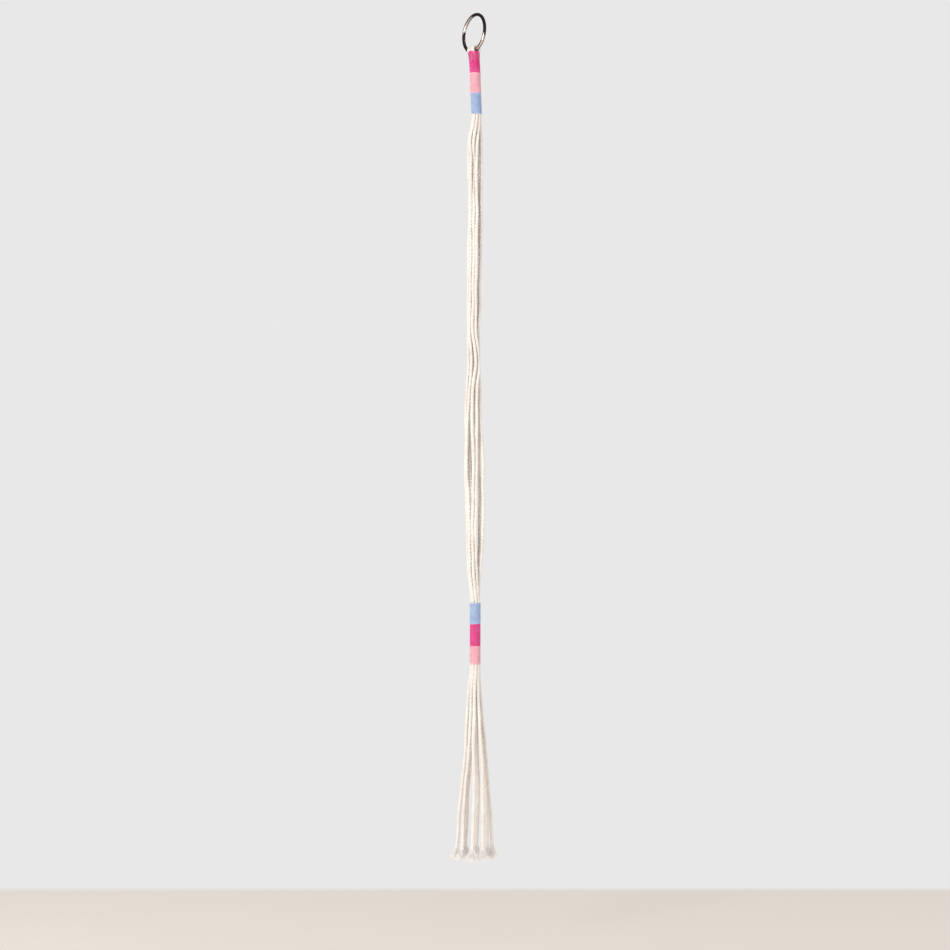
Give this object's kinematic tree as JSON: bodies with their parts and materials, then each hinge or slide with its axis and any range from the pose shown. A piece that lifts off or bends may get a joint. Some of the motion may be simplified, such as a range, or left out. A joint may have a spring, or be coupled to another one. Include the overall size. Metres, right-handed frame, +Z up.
{
  "type": "hanging macrame planter",
  "caption": "Hanging cord planter: cotton cords folded over a steel ring, bound by coloured yarn wraps above and below a loose drop that opens round a pot, with a frayed tassel.",
  "frame": {"origin": "the hook's seat, at the inside of the ring's wire at its top", "axes": "+Z up, against gravity as it hangs; +X to the right and +Y away, seen from the front"},
  "size_m": [0.0582, 0.0539, 1.0485],
  "materials": {
    "ring_steel": "polished",
    "cotton_cord": "twisted cotton",
    "magenta_yarn": "wound yarn",
    "pink_yarn": "wound yarn",
    "blue_yarn": "wound yarn"
  },
  "bodies": {
    "ring": {"hanging_ring": "ring_steel"},
    "top_gather": {"cord_loop_1": "cotton_cord", "cord_loop_2": "cotton_cord", "cord_loop_3": "cotton_cord", "cord_loop_4": "cotton_cord", "top_wrap_magenta": "magenta_yarn", "top_wrap_pink": "pink_yarn", "top_wrap_blue": "blue_yarn"},
    "strand_1_upper": {"strand_upper_1": "cotton_cord"},
    "strand_1_lower": {"strand_lower_1": "cotton_cord"},
    "strand_2_upper": {"strand_upper_2": "cotton_cord"},
    "strand_2_lower": {"strand_lower_2": "cotton_cord"},
    "strand_3_upper": {"strand_upper_3": "cotton_cord"},
    "strand_3_lower": {"strand_lower_3": "cotton_cord"},
    "strand_4_upper": {"strand_upper_4": "cotton_cord"},
    "strand_4_lower": {"strand_lower_4": "cotton_cord"},
    "strand_5_upper": {"strand_upper_5": "cotton_cord"},
    "strand_5_lower": {"strand_lower_5": "cotton_cord"},
    "strand_6_upper": {"strand_upper_6": "cotton_cord"},
    "strand_6_lower": {"strand_lower_6": "cotton_cord"},
    "strand_7_upper": {"strand_upper_7": "cotton_cord"},
    "strand_7_lower": {"strand_lower_7": "cotton_cord"},
    "strand_8_upper": {"strand_upper_8": "cotton_cord"},
    "strand_8_lower": {"strand_lower_8": "cotton_cord"},
    "bottom_gather": {"bound_cord_1": "cotton_cord", "bound_cord_2": "cotton_cord", "bound_cord_3": "cotton_cord", "bound_cord_4": "cotton_cord", "bound_cord_5": "cotton_cord", "bound_cord_6": "cotton_cord", "bound_cord_7": "cotton_cord", "bound_cord_8": "cotton_cord", "bottom_wrap_blue": "blue_yarn", "bottom_wrap_magenta": "magenta_yarn", "bottom_wrap_pink": "pink_yarn"},
    "tassel_1": {"tassel_cord_1": "cotton_cord", "frayed_end_1": "cotton_cord"},
    "tassel_2": {"tassel_cord_2": "cotton_cord", "frayed_end_2": "cotton_cord"},
    "tassel_3": {"tassel_cord_3": "cotton_cord", "frayed_end_3": "cotton_cord"},
    "tassel_4": {"tassel_cord_4": "cotton_cord", "frayed_end_4": "cotton_cord"},
    "tassel_5": {"tassel_cord_5": "cotton_cord", "frayed_end_5": "cotton_cord"},
    "tassel_6": {"tassel_cord_6": "cotton_cord", "frayed_end_6": "cotton_cord"},
    "tassel_7": {"tassel_cord_7": "cotton_cord", "frayed_end_7": "cotton_cord"},
    "tassel_8": {"tassel_cord_8": "cotton_cord", "frayed_end_8": "cotton_cord"}
  },
  "joints": [
    {"name": "loops_on_ring", "type": "hinge", "parent": "ring", "child": "top_gather", "pos_m": [-0.00171, -0.00416, -0.0437], "axis": [0.5636, -0.819, 0.1081], "range_deg": [-70, 70]},
    {"name": "strand_spread_1", "type": "hinge", "parent": "top_gather", "child": "strand_1_upper", "pos_m": [0.00579, -0.00429, -0.12262], "axis": [0.1994, -0.9799, 0], "range_deg": [0, 16]},
    {"name": "strand_spread_2", "type": "hinge", "parent": "top_gather", "child": "strand_2_upper", "pos_m": [0.00391, -0.0015, -0.12262], "axis": [0.8339, -0.5519, 0], "range_deg": [0, 16]},
    {"name": "strand_spread_3", "type": "hinge", "parent": "top_gather", "child": "strand_3_upper", "pos_m": [0.00061, -0.00086, -0.12262], "axis": [0.9799, 0.1994, 0], "range_deg": [0, 16]},
    {"name": "strand_spread_4", "type": "hinge", "parent": "top_gather", "child": "strand_4_upper", "pos_m": [-0.00217, -0.00274, -0.12262], "axis": [0.5519, 0.8339, 0], "range_deg": [0, 16]},
    {"name": "strand_spread_5", "type": "hinge", "parent": "top_gather", "child": "strand_5_upper", "pos_m": [-0.00281, -0.00604, -0.12262], "axis": [-0.1994, 0.9799, 0], "range_deg": [0, 16]},
    {"name": "strand_spread_6", "type": "hinge", "parent": "top_gather", "child": "strand_6_upper", "pos_m": [-0.00093, -0.00882, -0.12262], "axis": [-0.8339, 0.5519, 0], "range_deg": [0, 16]},
    {"name": "strand_spread_7", "type": "hinge", "parent": "top_gather", "child": "strand_7_upper", "pos_m": [0.00236, -0.00947, -0.12262], "axis": [-0.9799, -0.1994, 0], "range_deg": [0, 16]},
    {"name": "strand_spread_8", "type": "hinge", "parent": "top_gather", "child": "strand_8_upper", "pos_m": [0.00515, -0.00759, -0.12262], "axis": [-0.5519, -0.8339, 0], "range_deg": [0, 16]},
    {"name": "strand_knee_1", "type": "hinge", "parent": "strand_1_upper", "child": "strand_1_lower", "pos_m": [0.0069, -0.00589, -0.42432], "axis": [0.1994, -0.9799, 0], "range_deg": [-32, 0]},
    {"name": "strand_knee_2", "type": "hinge", "parent": "strand_2_upper", "child": "strand_2_lower", "pos_m": [0.00417, -0.00184, -0.42432], "axis": [0.8339, -0.5519, 0], "range_deg": [-32, 0]},
    {"name": "strand_knee_3", "type": "hinge", "parent": "strand_3_upper", "child": "strand_3_lower", "pos_m": [-0.00064, -0.0009, -0.42432], "axis": [0.9799, 0.1994, 0], "range_deg": [-32, 0]},
    {"name": "strand_knee_4", "type": "hinge", "parent": "strand_4_upper", "child": "strand_4_lower", "pos_m": [-0.00469, -0.00364, -0.42432], "axis": [0.5519, 0.8339, 0], "range_deg": [-32, 0]},
    {"name": "strand_knee_5", "type": "hinge", "parent": "strand_5_upper", "child": "strand_5_lower", "pos_m": [-0.00562, -0.00844, -0.42432], "axis": [-0.1994, 0.9799, 0], "range_deg": [-32, 0]},
    {"name": "strand_knee_6", "type": "hinge", "parent": "strand_6_upper", "child": "strand_6_lower", "pos_m": [-0.00289, -0.01249, -0.42432], "axis": [-0.8339, 0.5519, 0], "range_deg": [-32, 0]},
    {"name": "strand_knee_7", "type": "hinge", "parent": "strand_7_upper", "child": "strand_7_lower", "pos_m": [0.00191, -0.01342, -0.42432], "axis": [-0.9799, -0.1994, 0], "range_deg": [-32, 0]},
    {"name": "strand_knee_8", "type": "hinge", "parent": "strand_8_upper", "child": "strand_8_lower", "pos_m": [0.00597, -0.01069, -0.42432], "axis": [-0.5519, -0.8339, 0], "range_deg": [-32, 0]},
    {"name": "bottom_gather_hang", "type": "hinge", "parent": "strand_1_lower", "child": "bottom_gather", "pos_m": [0.00409, -0.00829, -0.72602], "axis": [0.1994, -0.9799, 0], "range_deg": [0, 16]},
    {"name": "tassel_swing_1", "type": "hinge", "parent": "bottom_gather", "child": "tassel_1", "pos_m": [0.00409, -0.00829, -0.80202], "axis": [0.1994, -0.9799, 0], "range_deg": [0, 25]},
    {"name": "tassel_swing_2", "type": "hinge", "parent": "bottom_gather", "child": "tassel_2", "pos_m": [0.00221, -0.0055, -0.80202], "axis": [0.8339, -0.5519, 0], "range_deg": [0, 25]},
    {"name": "tassel_swing_3", "type": "hinge", "parent": "bottom_gather", "child": "tassel_3", "pos_m": [-0.00109, -0.00486, -0.80202], "axis": [0.9799, 0.1994, 0], "range_deg": [0, 25]},
    {"name": "tassel_swing_4", "type": "hinge", "parent": "bottom_gather", "child": "tassel_4", "pos_m": [-0.00387, -0.00674, -0.80202], "axis": [0.5519, 0.8339, 0], "range_deg": [0, 25]},
    {"name": "tassel_swing_5", "type": "hinge", "parent": "bottom_gather", "child": "tassel_5", "pos_m": [-0.00451, -0.01004, -0.80202], "axis": [-0.1994, 0.9799, 0], "range_deg": [0, 25]},
    {"name": "tassel_swing_6", "type": "hinge", "parent": "bottom_gather", "child": "tassel_6", "pos_m": [-0.00263, -0.01282, -0.80202], "axis": [-0.8339, 0.5519, 0], "range_deg": [0, 25]},
    {"name": "tassel_swing_7", "type": "hinge", "parent": "bottom_gather", "child": "tassel_7", "pos_m": [0.00066, -0.01347, -0.80202], "axis": [-0.9799, -0.1994, 0], "range_deg": [0, 25]},
    {"name": "tassel_swing_8", "type": "hinge", "parent": "bottom_gather", "child": "tassel_8", "pos_m": [0.00345, -0.01159, -0.80202], "axis": [-0.5519, -0.8339, 0], "range_deg": [0, 25]}
  ],
  "couplings": [
    {"joint": "strand_spread_2", "follows": "strand_spread_1", "ratio": 1},
    {"joint": "strand_spread_3", "follows": "strand_spread_1", "ratio": 1},
    {"joint": "strand_spread_4", "follows": "strand_spread_1", "ratio": 1},
    {"joint": "strand_spread_5", "follows": "strand_spread_1", "ratio": 1},
    {"joint": "strand_spread_6", "follows": "strand_spread_1", "ratio": 1},
    {"joint": "strand_spread_7", "follows": "strand_spread_1", "ratio": 1},
    {"joint": "strand_spread_8", "follows": "strand_spread_1", "ratio": 1},
    {"joint": "strand_knee_1", "follows": "strand_spread_1", "ratio": -2},
    {"joint": "strand_knee_2", "follows": "strand_spread_1", "ratio": -2},
    {"joint": "strand_knee_3", "follows": "strand_spread_1", "ratio": -2},
    {"joint": "strand_knee_4", "follows": "strand_spread_1", "ratio": -2},
    {"joint": "strand_knee_5", "follows": "strand_spread_1", "ratio": -2},
    {"joint": "strand_knee_6", "follows": "strand_spread_1", "ratio": -2},
    {"joint": "strand_knee_7", "follows": "strand_spread_1", "ratio": -2},
    {"joint": "strand_knee_8", "follows": "strand_spread_1", "ratio": -2},
    {"joint": "bottom_gather_hang", "follows": "strand_spread_1", "ratio": 1}
  ]
}
